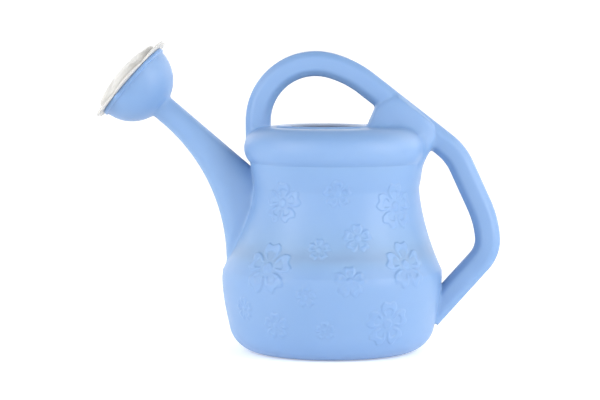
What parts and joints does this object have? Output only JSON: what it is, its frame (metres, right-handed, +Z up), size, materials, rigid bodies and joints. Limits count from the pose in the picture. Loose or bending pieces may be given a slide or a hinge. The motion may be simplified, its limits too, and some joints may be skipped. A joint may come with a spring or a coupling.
{
  "type": "watering can",
  "caption": "Hollow plastic watering can with a horn spout, a looped carry handle, a rear pour handle and a flower-shaped push-on rose.",
  "frame": {"origin": "middle of the flat base, on the surface the can stands on", "axes": "+Z up, the spout points to -X and the pour handle to +X, and the can is its own mirror image across the XZ plane"},
  "size_m": [0.4502, 0.247, 0.3463],
  "materials": {
    "moulded_blue": "blow-moulded polyethylene, light blue, semi-matt",
    "rose_white": "injection-moulded polypropylene, warm white, semi-matt"
  },
  "bodies": {
    "can": {"tank": "moulded_blue", "spout": "moulded_blue", "rose_cup": "moulded_blue", "carry_handle": "moulded_blue", "handle_post": "moulded_blue", "pour_handle": "moulded_blue"},
    "rose": {"rose": "rose_white"}
  },
  "joints": [
    {"name": "rose_pull", "type": "slide", "parent": "can", "child": "rose", "axis": [-0.7524, 0, 0.6587], "range_m": [0, 0.06]}
  ]
}
